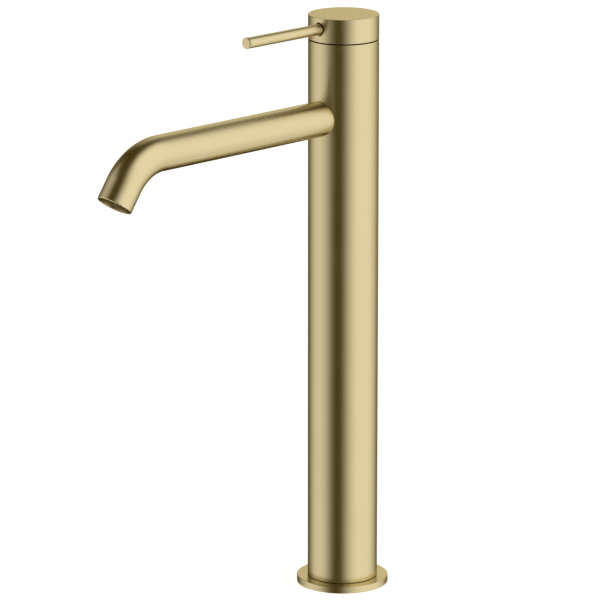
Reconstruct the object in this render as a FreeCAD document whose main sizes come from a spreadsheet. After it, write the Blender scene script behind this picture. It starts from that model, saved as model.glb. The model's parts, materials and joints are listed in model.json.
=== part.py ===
import FreeCAD, Part
import Sketcher
import math
import os

# Tall single-lever basin mixer. Millimetres. The column's axis is Z, the deck is z = 0,
# and the spout and the lever point along -Y.

DIMENSIONS = {
    # column and base
    "column_radius": 21.0,
    "column_wall": 1.5,
    "column_top": 334.0,
    "edge_bevel": 0.5,
    "flange_radius": 27.5,
    "flange_thickness": 4.2,
    "flange_bevel": 0.3,
    "gasket_inner": 20.5,
    "gasket_outer": 25.5,
    "gasket_thickness": 2.0,
    "play": 0.05,
    "block_top": 38.0,
    "block_spigot": 18.0,
    "inlet_x": 9.5,
    "inlet_y": -3.0,
    "inlet_thread": 4.5,
    "inlet_depth": 12.0,
    "stud_y": 9.5,
    "stud_thread": 3.4,
    "stud_depth": 16.0,
    "waterway": 3.0,
    # supply tubes
    "supply_radius": 5.0,
    "supply_bore": 3.4,
    "socket_depth": 9.0,
    "socket_radius": 5.03,
    # valve housing
    "housing_bottom": 262.0,
    "housing_top": 325.0,
    "seat": 297.5,
    "cartridge_radius": 17.5,
    "nut_bore": 18.3,
    "shoulder": 314.8,
    "outlet_y": 7.0,
    "outlet_radius": 4.0,
    # spout
    "spout_height": 288.8,
    "spout_radius": 10.5,
    "spout_bore": 9.0,
    "spout_straight": 149.8,
    "bend_radius": 34.2,
    "bend_angle": 54.9,
    "spout_tip": 12.7,
    "port_radius": 7.5,
    "port_depth": 12.0,
    "channel_radius": 5.0,
    "screw_y": 30.0,
    "screw_radius": 2.0,
    # cartridge
    "cartridge_base_thickness": 3.5,
    "seal_depth": 1.2,
    "disc_radius": 15.4,
    "fixed_disc_thickness": 3.0,
    "moving_disc_radius": 13.7,
    "moving_disc_thickness": 2.5,
    "shell_bore": 15.5,
    "shell_lip": 311.0,
    "neck_radius": 14.6,
    "neck_bore": 12.6,
    "carrier_top": 324.5,
    # handle: the cap tilts about a pin below the seam
    "pivot_height": 318.0,
    "pivot_pin": 1.5,
    "lean": 11.0,
    "ball_arm": 8.0,
    "ball_radius": 1.9,
    "stem_side": 6.4,
    "stem_length": 27.5,
    "stop_half_angle": 60.0,
    "dome_radius": 19.4,
    "dome_wall": 1.2,
    "dome_hole": 8.5,
    "seam": 0.7,
    "total_height": 349.0,
    "skirt_radius": 20.45,
    "cap_floor": 338.0,
    "sweep_radius": 26.4,
    "sweep_start": 6.0,
    "lever_height": 342.4,
    "lever_radius": 3.25,
    "lever_length": 80.6,
    "lever_thread": 2.5,
    "lever_seat": 17.0,
    "button_radius": 3.45,
}

doc = FreeCAD.newDocument("basin_mixer")
sheet = doc.addObject("Spreadsheet::Sheet", "dims")
for row, (alias, number) in enumerate(DIMENSIONS.items(), start=1):
    sheet.set(f"A{row}", alias)
    sheet.set(f"B{row}", str(number))
    sheet.setAlias(f"B{row}", alias)
doc.recompute()

SUBPARTS = []


class Size:
    """A number together with the spreadsheet expression that drives it."""

    def __init__(self, value, text):
        self.value = value
        self.text = text

    def __add__(self, other):
        other = size(other)
        return Size(self.value + other.value, f"({self.text} + {other.text})")

    def __sub__(self, other):
        other = size(other)
        return Size(self.value - other.value, f"({self.text} - {other.text})")

    def __mul__(self, other):
        other = size(other)
        return Size(self.value * other.value, f"({self.text} * {other.text})")

    def __truediv__(self, other):
        other = size(other)
        return Size(self.value / other.value, f"({self.text} / {other.text})")

    def __neg__(self):
        return Size(-self.value, f"(0 - {self.text})")

    __radd__ = __add__
    __rmul__ = __mul__

    def __rsub__(self, other):
        return size(other) - self


def size(number):
    return number if isinstance(number, Size) else Size(float(number), f"({float(number)})")


def sin_of(angle):
    return Size(math.sin(math.radians(angle.value)), f"sin({angle.text} * 1deg)")


def cos_of(angle):
    return Size(math.cos(math.radians(angle.value)), f"cos({angle.text} * 1deg)")


def root_of(number):
    return Size(math.sqrt(number.value), f"sqrt({number.text})")


class Dimensions:
    """Attribute access to the sheet: dim.column_radius is a Size bound to its cell."""

    def __getattr__(self, alias):
        return Size(DIMENSIONS[alias], f"dims.{alias}")


dim = Dimensions()


# ---------------------------------------------------------------- modelling helpers

def bind(item, path, value):
    value = size(value)
    item.setExpression(path, value.text)


def new_body(label):
    body = doc.addObject("PartDesign::Body", label)
    body.Label = label
    SUBPARTS.append(body)
    return body


def new_sketch(body, role, offset=(0, 0, 0), tilt=0):
    """An empty sketch on one of the body's origin planes, moved by offset in the plane's own axes
    and turned by tilt degrees about its first axis."""
    sketch = body.newObject("Sketcher::SketchObject", f"{body.Label}_sketch")
    plane = [item for item in body.Origin.OriginFeatures if item.Role == role][0]
    sketch.AttachmentSupport = [(plane, "")]
    sketch.MapMode = "FlatFace"
    rotation = FreeCAD.Rotation(FreeCAD.Vector(1, 0, 0), size(tilt).value)
    place = FreeCAD.Vector(*[size(part).value for part in offset])
    sketch.AttachmentOffset = FreeCAD.Placement(place, rotation)
    for axis, part in zip("xyz", offset):
        if size(part).value:
            bind(sketch, f"AttachmentOffset.Base.{axis}", part)
    return sketch


def pin_point(sketch, line, end, point):
    """Ties one end of a sketch edge to its place, measured from the sketch's origin."""
    horizontal, vertical = (size(part) for part in point[:2])
    for kind, part, axis in (("DistanceX", horizontal, -2), ("DistanceY", vertical, -1)):
        if part.value:
            index = sketch.addConstraint(Sketcher.Constraint(kind, -1, 1, line, end, part.value))
            bind(sketch, f"Constraints[{index}]", part)
        else:
            sketch.addConstraint(Sketcher.Constraint("PointOnObject", line, end, axis))


def arc_through(start, end, radius, side):
    """The shorter arc of a known radius between two points; side says where its middle lies."""
    half = (end - start) * 0.5
    reach = math.sqrt(max(radius ** 2 - half.Length ** 2, 0))
    across = FreeCAD.Vector(-half.y, half.x, 0).normalize()
    centre = start + half - across * reach * side
    middle = centre + across * radius * side
    return Part.Arc(start, middle, end)


def draw_outline(sketch, points):
    """A closed outline. Each point is (x, y), or (x, y, radius, side) when an arc ends there."""
    count = len(points)
    places = [FreeCAD.Vector(size(point[0]).value, size(point[1]).value, 0) for point in points]
    for index in range(count):
        target = points[(index + 1) % count]
        start = places[index]
        end = places[(index + 1) % count]
        if len(target) == 2:
            sketch.addGeometry(Part.LineSegment(start, end))
        else:
            sketch.addGeometry(arc_through(start, end, size(target[2]).value, target[3]))
    # the sketcher runs every arc anticlockwise, so an arc drawn clockwise starts at its far end
    first_end = [2 if len(points[(index + 1) % count]) == 4 and points[(index + 1) % count][3] > 0 else 1
                 for index in range(count)]
    for index in range(count):
        following = (index + 1) % count
        pin_point(sketch, index, first_end[index], points[index])
        last_end = 3 - first_end[index]
        link = Sketcher.Constraint("Coincident", index, last_end, following, first_end[following])
        sketch.addConstraint(link)
        target = points[following]
        if len(target) == 4:
            place = sketch.addConstraint(Sketcher.Constraint("Radius", index, size(target[2]).value))
            bind(sketch, f"Constraints[{place}]", target[2])


def draw_circle(sketch, radius, centre=(0, 0)):
    radius = size(radius)
    middle = FreeCAD.Vector(size(centre[0]).value, size(centre[1]).value, 0)
    index = sketch.addGeometry(Part.Circle(middle, FreeCAD.Vector(0, 0, 1), radius.value))
    place = sketch.addConstraint(Sketcher.Constraint("Radius", index, radius.value))
    bind(sketch, f"Constraints[{place}]", radius)
    pin_point(sketch, index, 3, centre)


def box_outline(half_x, half_y, centre=(0, 0)):
    x, y = centre
    return [
        (x - half_x, y - half_y), (x + half_x, y - half_y),
        (x + half_x, y + half_y), (x - half_x, y + half_y)]


def finish_feature(body, feature, adds):
    """Recomputes and makes sure the feature changed the solid the way it should."""
    before = feature.BaseFeature.Shape.Volume if feature.BaseFeature else 0.0
    doc.recompute()
    change = feature.Shape.Volume - before
    if (change <= 0) if adds else (change >= 0):
        raise RuntimeError(f"{feature.Name} of {body.Label} changed the volume by {change}")
    return feature


def turn(body, points, role="XZ_Plane", offset=(0, 0, 0), cut=False, axis="V_Axis"):
    """Revolves a closed outline about one of its sketch's own axes, adding or cutting."""
    sketch = new_sketch(body, role, offset)
    draw_outline(sketch, points)
    kind = "PartDesign::Groove" if cut else "PartDesign::Revolution"
    feature = body.newObject(kind, f"{body.Label}_turned")
    feature.Profile = sketch
    feature.ReferenceAxis = (sketch, [axis])
    feature.Angle = 360
    return finish_feature(body, feature, not cut)


def extrude(body, sketch, length, cut=False, flip=False, both=False):
    kind = "PartDesign::Pocket" if cut else "PartDesign::Pad"
    feature = body.newObject(kind, f"{body.Label}_{'pocket' if cut else 'pad'}")
    feature.Profile = sketch
    bind(feature, "Length", length)
    feature.Reversed = flip
    if both:
        feature.SideType = "Symmetric"
    return finish_feature(body, feature, not cut)


def drill(body, radius, depth, centres, level, up=True):
    """Straight round holes along Z from a level, upwards or downwards."""
    sketch = new_sketch(body, "XY_Plane", (0, 0, level))
    for centre in centres:
        draw_circle(sketch, radius, centre)
    return extrude(body, sketch, depth, cut=True, flip=up)


def drill_front(body, radius, height, start, length):
    """A round hole along -Y whose axis is at a height, from y = -start over a length."""
    sketch = new_sketch(body, "XZ_Plane", (0, 0, start))
    draw_circle(sketch, radius, (0, height))
    return extrude(body, sketch, length, cut=True, flip=True)


def ring_outline(inner, outer, bottom, top):
    return [(inner, bottom), (outer, bottom), (outer, top), (inner, top)]


def place(item, x=0, y=0, z=0, tip=0):
    """Moves a finished piece and turns it by tip degrees about X."""
    rotation = FreeCAD.Rotation(FreeCAD.Vector(1, 0, 0), size(tip).value)
    base = FreeCAD.Vector(size(x).value, size(y).value, size(z).value)
    item.Placement = FreeCAD.Placement(base, rotation)
    for axis, part in (("x", x), ("y", y), ("z", z)):
        if size(part).value:
            bind(item, f"Placement.Base.{axis}", part)
    if size(tip).value:
        bind(item, "Placement.Rotation.Angle", tip)


def ring_group(label, rings, tip=0, base=(0, 0, 0)):
    """Round-section seals: each is (x, y, z, centreline radius, section radius)."""
    members = []
    for index, (x, y, z, centreline, section) in enumerate(rings, start=1):
        ring = doc.addObject("Part::Torus", f"{label}_{index}")
        bind(ring, "Radius1", centreline)
        bind(ring, "Radius2", section)
        place(ring, x, y, z)
        members.append(ring)
    group = doc.addObject("Part::Compound", label)
    group.Label = label
    group.Links = members
    place(group, *base, tip=tip)
    SUBPARTS.append(group)
    return group


def hexagon(across_flats):
    corner = size(across_flats) / math.sqrt(3)
    points = []
    for step in range(6):
        angle = math.radians(60 * step)
        points.append((corner * math.cos(angle), corner * round(math.sin(angle), 9)))
    return points


def grub_screw(label, radius, length, tip_radius, hex_size):
    """A set screw along its own Z: flat cone tip at the origin, hex socket at the far end."""
    body = new_body(label)
    cone = radius - tip_radius
    turn(body, [(0, 0), (tip_radius, 0), (radius, cone), (radius, length), (0, length)])
    sketch = new_sketch(body, "XY_Plane", (0, 0, length))
    draw_outline(sketch, hexagon(hex_size))
    extrude(body, sketch, size(length) / 2, cut=True)
    return body


# ---------------------------------------------------------------- places worked out from the sheet

column_bore = dim.column_radius - dim.column_wall
fit_radius = column_bore - dim.play
cap_bottom = dim.column_top + dim.seam
disc_seat = dim.seat + dim.cartridge_base_thickness
moving_seat = disc_seat + dim.fixed_disc_thickness
coupler_seat = moving_seat + dim.moving_disc_thickness
lean = dim.lean
ball_y = dim.ball_arm * sin_of(lean)
ball_z = dim.pivot_height - dim.ball_arm * cos_of(lean)
tip_angle = dim.bend_angle + 90
outlet_y = -(dim.spout_straight + dim.bend_radius * sin_of(dim.bend_angle)
             + dim.spout_tip * cos_of(dim.bend_angle))
outlet_z = (dim.spout_height - dim.bend_radius * (1 - cos_of(dim.bend_angle))
            - dim.spout_tip * sin_of(dim.bend_angle))
OUTLET = (0, outlet_y, outlet_z)
INLETS = [(-dim.inlet_x, dim.inlet_y), (dim.inlet_x, dim.inlet_y)]


# ---------------------------------------------------------------- base and column

def make_base_flange():
    body = new_body("base_flange")
    bore = dim.block_spigot + 0.1
    bevel = dim.flange_bevel
    top = dim.flange_thickness
    outer = dim.flange_radius
    turn(body, [
        (bore, 0), (dim.gasket_inner, 0), (dim.gasket_inner, dim.gasket_thickness),
        (dim.gasket_outer, dim.gasket_thickness), (dim.gasket_outer, 0), (outer, 0),
        (outer, top - bevel), (outer - bevel, top), (bore, top)])


def make_base_gasket():
    body = new_body("base_gasket")
    inner = dim.gasket_inner + dim.play
    outer = dim.gasket_outer - dim.play
    turn(body, ring_outline(inner, outer, 0, dim.gasket_thickness))


def make_base_block():
    """Brass plug in the foot of the column: stud thread, two inlet threads, two tube sockets."""
    body = new_body("base_block")
    shoulder = dim.flange_thickness
    turn(body, [
        (0, 0), (dim.block_spigot, 0), (dim.block_spigot, shoulder), (fit_radius, shoulder),
        (fit_radius, dim.block_top), (0, dim.block_top)])
    drill(body, dim.stud_thread, dim.stud_depth, [(0, dim.stud_y)], 0)
    drill(body, dim.inlet_thread, dim.inlet_depth, INLETS, 0)
    drill(body, dim.waterway, dim.block_top - dim.inlet_depth, INLETS, dim.inlet_depth)
    drill(body, dim.socket_radius, dim.socket_depth, INLETS, dim.block_top, up=False)


def make_column_tube():
    body = new_body("column_tube")
    bevel = dim.edge_bevel
    outer = dim.column_radius
    bottom = dim.flange_thickness
    top = dim.column_top
    turn(body, [
        (column_bore, bottom), (outer - bevel, bottom), (outer, bottom + bevel),
        (outer, top - bevel), (outer - bevel, top), (column_bore, top)])
    drill_front(body, dim.port_radius + 0.2, dim.spout_height, dim.cartridge_radius, 8)


def make_supply_tube(label, side):
    """Straight tube between the base block and the valve housing, with a seal groove at each end."""
    body = new_body(label)
    low = dim.block_top - dim.socket_depth
    high = dim.housing_bottom + dim.socket_depth
    outer = dim.supply_radius
    floor = outer - 1.0
    groove = 1.1
    inset = 3.5
    turn(body, [
        (dim.supply_bore, low), (outer, low), (outer, low + inset), (floor, low + inset),
        (floor, low + inset + groove), (outer, low + inset + groove),
        (outer, high - inset - groove), (floor, high - inset - groove),
        (floor, high - inset), (outer, high - inset), (outer, high), (dim.supply_bore, high)])
    place(body, dim.inlet_x * side, dim.inlet_y, 0)


def make_supply_seals():
    section = 0.5
    half_groove = 0.55
    inset = 3.5
    low = dim.block_top - dim.socket_depth + inset + half_groove
    high = dim.housing_bottom + dim.socket_depth - inset - half_groove
    centreline = dim.supply_radius - 1.0 + section
    rings = [(x, y, z, centreline, section) for x, y in INLETS for z in (low, high)]
    ring_group("supply_tube_seals", rings)


# ---------------------------------------------------------------- valve housing and spout

SEAL_LEVEL = 275.0
SEAL_SECTION = 0.7


def make_valve_housing():
    """Brass block at the head of the column: cartridge seat, waterways and spout port."""
    body = new_body("valve_housing")
    bore = dim.cartridge_radius + 0.1
    nut_floor = dim.shoulder - 0.8
    groove = fit_radius - 2 * SEAL_SECTION
    turn(body, [
        (0, dim.housing_bottom), (fit_radius, dim.housing_bottom),
        (fit_radius, SEAL_LEVEL - 1), (groove, SEAL_LEVEL - 1), (groove, SEAL_LEVEL + 1),
        (fit_radius, SEAL_LEVEL + 1), (fit_radius, dim.housing_top), (dim.nut_bore, dim.housing_top),
        (dim.nut_bore, nut_floor), (bore, nut_floor), (bore, dim.seat), (0, dim.seat)])
    drill(body, dim.waterway, dim.seat - dim.housing_bottom, INLETS, dim.housing_bottom)
    drill(body, dim.socket_radius, dim.socket_depth, INLETS, dim.housing_bottom)
    drill(body, dim.outlet_radius, dim.seat - dim.spout_height, [(0, dim.outlet_y)], dim.seat, up=False)
    drill_front(body, dim.channel_radius, dim.spout_height, -(dim.outlet_y + dim.outlet_radius + 1), 34)
    drill_front(body, dim.port_radius + dim.play, dim.spout_height, dim.port_depth, 10)
    drill(body, PEG_RADIUS + dim.play, PEG_LENGTH + 0.1, PEGS, dim.seat, up=False)


PEG_RADIUS = 1.5
PEG_LENGTH = 1.5
PEGS = [(-11.0, 9.0), (11.0, 9.0)]


def make_housing_seal():
    rings = [(0, 0, SEAL_LEVEL, fit_radius - SEAL_SECTION, SEAL_SECTION)]
    ring_group("valve_housing_seal", rings)


CONNECTOR_SEALS = (36.0, 39.5)
CONNECTOR_SEAL_SECTION = 0.8


def make_spout_connector():
    """Threaded nipple: screws into the valve housing through the column wall and carries the spout."""
    body = new_body("spout_connector")
    collar = dim.spout_bore - dim.play
    collar_start = dim.column_radius + 1
    end = 43.0
    floor = collar - 2 * CONNECTOR_SEAL_SECTION
    outline = [
        (dim.channel_radius, dim.port_depth), (dim.port_radius, dim.port_depth),
        (dim.port_radius, collar_start), (collar, collar_start)]
    for middle in CONNECTOR_SEALS:
        outline += [(collar, middle - 1), (floor, middle - 1), (floor, middle + 1), (collar, middle + 1)]
    outline += [(collar, end), (dim.channel_radius, end)]
    turn(body, outline)
    sketch = new_sketch(body, "XZ_Plane", (0, 0, 0))
    draw_circle(sketch, dim.screw_radius + dim.play, (0, dim.screw_y))
    extrude(body, sketch, dim.spout_bore, cut=True, flip=True)
    place(body, 0, 0, dim.spout_height, tip=90)


def make_connector_seals():
    centreline = dim.spout_bore - dim.play - CONNECTOR_SEAL_SECTION
    rings = [(0, 0, level, centreline, CONNECTOR_SEAL_SECTION) for level in CONNECTOR_SEALS]
    ring_group("connector_seals", rings, tip=90, base=(0, 0, dim.spout_height))


def make_spout_tube():
    """Tube swept along a straight run, one bend and a short straight end."""
    body = new_body("spout_tube")
    root_y = 15.0
    path = new_sketch(body, "YZ_Plane")
    height = dim.spout_height
    bend = dim.bend_radius
    angle = dim.bend_angle
    turn_y = -dim.spout_straight
    bend_y = turn_y - bend * sin_of(angle)
    bend_z = height - bend * (1 - cos_of(angle))
    route = [(size(-root_y), height), (turn_y, height), (bend_y, bend_z), (outlet_y, outlet_z)]
    spots = [FreeCAD.Vector(y.value, z.value, 0) for y, z in route]
    path.addGeometry(Part.LineSegment(spots[0], spots[1]))
    centre = FreeCAD.Vector(turn_y.value, height.value - bend.value, 0)
    half = math.radians(angle.value / 2)
    middle = centre + FreeCAD.Vector(-math.sin(half), math.cos(half), 0) * bend.value
    path.addGeometry(Part.Arc(spots[1], middle, spots[2]))
    path.addGeometry(Part.LineSegment(spots[2], spots[3]))
    pin_point(path, 0, 1, route[0])
    pin_point(path, 0, 2, route[1])
    path.addConstraint(Sketcher.Constraint("Coincident", 0, 2, 1, 1))
    path.addConstraint(Sketcher.Constraint("Coincident", 1, 2, 2, 1))
    radius = path.addConstraint(Sketcher.Constraint("Radius", 1, bend.value))
    bind(path, f"Constraints[{radius}]", bend)
    pin_point(path, 2, 1, route[2])
    pin_point(path, 2, 2, route[3])
    section = new_sketch(body, "XZ_Plane", (0, 0, root_y))
    draw_circle(section, dim.spout_radius, (0, height))
    draw_circle(section, dim.spout_bore, (0, height))
    pipe = body.newObject("PartDesign::AdditivePipe", "spout_pipe")
    pipe.Profile = section
    pipe.Spine = path
    finish_feature(body, pipe, True)
    saddle = new_sketch(body, "XY_Plane", (0, 0, height))
    draw_circle(saddle, dim.column_radius)
    extrude(body, saddle, 3 * dim.spout_radius, cut=True, both=True)
    drill(body, dim.screw_radius + dim.play, 4, [(0, -dim.screw_y)], height - dim.spout_bore + 1, up=False)


def make_spout_screw():
    screw = grub_screw("spout_grub_screw", dim.screw_radius, 4.6, 1.0, 2.0)
    place(screw, 0, -dim.screw_y, dim.spout_height - dim.channel_radius - 0.6, tip=180)


# ---------------------------------------------------------------- aerator, along the spout's end

def make_aerator():
    """Water runs towards local +Z; the outlet plane is z = 0."""
    outer = dim.spout_bore - dim.play
    inner = 7.7
    mouth = 6.6
    bevel = 0.4
    top = -10.5
    rim = -0.5
    ledge = -1.2
    notch_depth = 1.2
    housing = new_body("aerator_housing")
    turn(housing, [
        (inner, top), (outer, top), (outer, rim - bevel), (outer - bevel, rim), (mouth + bevel, rim),
        (mouth, rim - bevel), (mouth, ledge), (inner, ledge)])
    notch = new_sketch(housing, "XY_Plane", (0, 0, rim))
    draw_outline(notch, box_outline(0.8, 0.3, (0, 8.3)))
    cut = extrude(housing, notch, notch_depth, cut=True)
    pattern = housing.newObject("PartDesign::PolarPattern", "aerator_notches")
    pattern.Originals = [cut]
    pattern.Axis = (notch, ["N_Axis"])
    pattern.Angle = 360
    pattern.Occurrences = 8
    housing.Tip = pattern

    jets = new_body("aerator_jet_insert")
    foot = -5.0
    shoulder = ledge - 0.05
    face = -0.75
    turn(jets, [(0, foot), (7.6, foot), (7.6, shoulder), (6.5, shoulder), (6.5, face), (0, face)])
    for count, spacing in ((6, 1.9), (12, 3.7), (18, 5.5)):
        holes = new_sketch(jets, "XY_Plane", (0, 0, 0))
        for step in range(count):
            angle = 2 * math.pi * (step + 0.25) / count
            draw_circle(holes, 0.6, (spacing * math.cos(angle), spacing * math.sin(angle)))
        extrude(jets, holes, 8, cut=True)

    regulator = new_body("flow_regulator")
    turn(regulator, ring_outline(1.2, 6.5, -8.5, -5.6))

    strainer = new_body("aerator_strainer")
    turn(strainer, [(0, -10.4), (7.6, -10.4), (7.6, -9.4), (6.9, -9.4), (6.9, -9.9), (0, -9.9)])
    mesh = new_sketch(strainer, "XY_Plane", (0, 0, -9))
    draw_circle(mesh, 0.5, (0, 0))
    for count, spacing in ((6, 2.0), (12, 4.0)):
        for step in range(count):
            angle = 2 * math.pi * (step + 0.5) / count
            draw_circle(mesh, 0.5, (spacing * math.cos(angle), spacing * math.sin(angle)))
    extrude(strainer, mesh, 3, cut=True)

    gasket = new_body("aerator_gasket")
    turn(gasket, ring_outline(7.0, outer, -12.0, -10.5))

    for piece in (housing, jets, regulator, strainer, gasket):
        place(piece, *OUTLET, tip=tip_angle)


# ---------------------------------------------------------------- cartridge

INLET_SEAL = 3.65
OUTLET_SEAL = 4.65
SEAL_SECTION_SMALL = 0.59


def make_cartridge_base():
    body = new_body("cartridge_base")
    low = dim.seat
    high = disc_seat
    radius = dim.cartridge_radius - dim.play
    turn(body, [(0, low), (radius, low), (radius, high), (0, high)])
    pegs = new_sketch(body, "XY_Plane", (0, 0, low))
    for centre in PEGS:
        draw_circle(pegs, PEG_RADIUS, centre)
    extrude(body, pegs, PEG_LENGTH, flip=True)
    outlet = [(0, dim.outlet_y)]
    drill(body, dim.waterway, high - low, INLETS, low)
    drill(body, dim.outlet_radius, high - low, outlet, low)
    for level, up in ((low, True), (high, False)):
        drill(body, INLET_SEAL + 0.65, dim.seal_depth, INLETS, level, up)
        drill(body, OUTLET_SEAL + 0.65, dim.seal_depth, outlet, level, up)


def make_port_seals(label, level):
    rings = [(x, y, level, INLET_SEAL, SEAL_SECTION_SMALL) for x, y in INLETS]
    rings.append((0, dim.outlet_y, level, OUTLET_SEAL, SEAL_SECTION_SMALL))
    ring_group(label, rings)


def make_fixed_disc():
    body = new_body("fixed_ceramic_disc")
    radius = dim.disc_radius
    turn(body, [(0, disc_seat), (radius, disc_seat), (radius, moving_seat), (0, moving_seat)])
    drill(body, dim.waterway - 0.2, dim.fixed_disc_thickness, INLETS, disc_seat)
    drill(body, dim.outlet_radius - 0.2, dim.fixed_disc_thickness, [(0, dim.outlet_y)], disc_seat)


COUPLER_PEGS = [(-10.5, 3.0), (10.5, 3.0)]


def make_moving_disc():
    """Slides on the fixed disc; its underside holds the mixing hollow, front arc towards the inlets."""
    body = new_body("moving_ceramic_disc")
    radius = dim.moving_disc_radius
    high = dim.moving_disc_thickness
    turn(body, [(0, 0), (radius, 0), (radius, high), (0, high)])
    hollow = 7.5
    corner = math.radians(17.5)
    side_x = hollow * math.cos(corner)
    side_y = -hollow * math.sin(corner)
    sketch = new_sketch(body, "XY_Plane")
    draw_outline(sketch, [
        (4.5, 8.0), (-4.5, 8.0), (-side_x, side_y), (0, -hollow, hollow, -1),
        (side_x, side_y, hollow, -1)])
    extrude(body, sketch, high / 2, cut=True, flip=True)
    drill(body, PEG_RADIUS + dim.play, 1.05, COUPLER_PEGS, high, up=False)
    place(body, 0, ball_y, moving_seat)


def make_disc_coupler():
    """Carries the moving disc; the stem's ball works in its slot."""
    body = new_body("disc_coupler")
    plate = 2.6
    boss = 5.6
    turn(body, [(0, 0), (12.5, 0), (12.5, plate), (0, plate)])
    pegs = new_sketch(body, "XY_Plane")
    for centre in COUPLER_PEGS:
        draw_circle(pegs, PEG_RADIUS, centre)
    extrude(body, pegs, 1, flip=True)
    block = new_sketch(body, "XY_Plane", (0, 0, plate))
    draw_outline(block, box_outline(7, 6))
    extrude(body, block, boss - plate)
    slot = new_sketch(body, "XY_Plane", (0, 0, boss))
    draw_outline(slot, box_outline(2.3, dim.ball_radius + dim.play))
    extrude(body, slot, boss - 0.8, cut=True)
    place(body, 0, ball_y, coupler_seat)


def make_cartridge_shell():
    body = new_body("cartridge_shell")
    outer = dim.cartridge_radius - dim.play
    top = dim.housing_top
    turn(body, [
        (dim.shell_bore, disc_seat), (outer, disc_seat), (outer, dim.shoulder),
        (dim.neck_radius, dim.shoulder), (dim.neck_radius, top), (dim.neck_bore, top),
        (dim.neck_bore, dim.shell_lip), (dim.shell_bore, dim.shell_lip)])
    stop = new_sketch(body, "XY_Plane", (0, 0, top))
    draw_outline(stop, sector(12.0, 13.75, dim.stop_half_angle))
    extrude(body, stop, 3, cut=True)


def sector(inner, outer, half_angle):
    """A ring sector centred on +Y, its long arcs split on the centre line."""
    across = sin_of(half_angle)
    along = cos_of(half_angle)
    return [
        (inner * across, inner * along, inner, 1), (outer * across, outer * along),
        (0, outer, outer, -1), (-(outer * across), outer * along, outer, -1),
        (-(inner * across), inner * along), (0, inner, inner, 1)]


def make_ring_nut():
    body = new_body("cartridge_ring_nut")
    outer = dim.nut_bore - dim.play
    inner = dim.neck_radius + 0.2
    turn(body, ring_outline(inner, outer, dim.shoulder, dim.housing_top))
    slot = new_sketch(body, "XY_Plane", (0, 0, dim.housing_top))
    draw_outline(slot, box_outline(1.5, 3, (0, dim.nut_bore)))
    cut = extrude(body, slot, 3, cut=True)
    pattern = body.newObject("PartDesign::PolarPattern", "nut_slots")
    pattern.Originals = [cut]
    pattern.Axis = (slot, ["N_Axis"])
    pattern.Angle = 360
    pattern.Occurrences = 6
    body.Tip = pattern


def make_temperature_ring():
    body = new_body("temperature_limit_ring")
    bottom = dim.housing_top
    turn(body, ring_outline(9.5, dim.neck_radius - 0.2, bottom, bottom + 1.8))


def make_dome_cover():
    """Spherical cover centred on the lever's pivot, so that the tilting cap always clears it."""
    body = new_body("dome_cover")
    outer = dim.dome_radius
    inner = outer - dim.dome_wall
    base = dim.housing_top - dim.pivot_height
    hole = dim.dome_hole
    turn(body, [
        (root_of(inner * inner - base * base), base, inner, 1),
        (root_of(outer * outer - base * base), base),
        (hole, root_of(outer * outer - hole * hole), outer, -1),
        (hole, root_of(inner * inner - hole * hole))])
    place(body, 0, 0, dim.pivot_height)


def make_swivel_carrier():
    """Turns in the shell with the lever and holds the pivot pin."""
    body = new_body("swivel_carrier")
    neck = dim.neck_bore - dim.play
    flange_low = coupler_seat + 2.9
    flange_high = dim.shell_lip - 0.55
    top = dim.carrier_top
    groove = dim.neck_bore - 1.2
    groove_low = 313.3
    groove_high = 314.7
    turn(body, [
        (0, flange_low), (dim.shell_bore - 0.2, flange_low), (dim.shell_bore - 0.2, flange_high),
        (neck, flange_high), (neck, groove_low), (groove, groove_low),
        (groove, groove_high), (neck, groove_high), (neck, top), (0, top)])
    window = new_sketch(body, "XY_Plane", (0, 0, flange_low))
    draw_outline(window, box_outline(7.05, 7.9))
    extrude(body, window, 3.4, cut=True, flip=True)
    slot = new_sketch(body, "XY_Plane", (0, 0, flange_low))
    draw_outline(slot, box_outline(dim.stem_side / 2 + 0.2, 5.0))
    extrude(body, slot, 20, cut=True, flip=True)
    lug = new_sketch(body, "XY_Plane", (0, 0, dim.carrier_top))
    draw_outline(lug, sector(12.0, 13.6, size(14.5)))
    extrude(body, lug, 2.3, flip=True)
    hole = new_sketch(body, "YZ_Plane")
    draw_circle(hole, dim.pivot_pin, (0, dim.pivot_height))
    extrude(body, hole, 30, cut=True, both=True)


def make_pivot_pin():
    pin = doc.addObject("Part::Cylinder", "pivot_pin")
    pin.Label = "pivot_pin"
    half_length = 12.0
    bind(pin, "Radius", dim.pivot_pin)
    bind(pin, "Height", 2 * half_length)
    rotation = FreeCAD.Rotation(FreeCAD.Vector(0, 1, 0), 90)
    pin.Placement = FreeCAD.Placement(FreeCAD.Vector(-half_length, 0, dim.pivot_height.value), rotation)
    bind(pin, "Placement.Base.z", dim.pivot_height)
    SUBPARTS.append(pin)


def make_carrier_seal():
    section = 0.58
    ring_group("carrier_seal", [(0, 0, 314.0, dim.neck_bore - 1.2 + section, section)])


def make_glide_washer():
    body = new_body("glide_washer")
    top = dim.shell_lip - dim.play
    turn(body, ring_outline(dim.neck_bore + 0.2, dim.shell_bore - 0.3, top - 0.5, top))


# ---------------------------------------------------------------- handle

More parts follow.
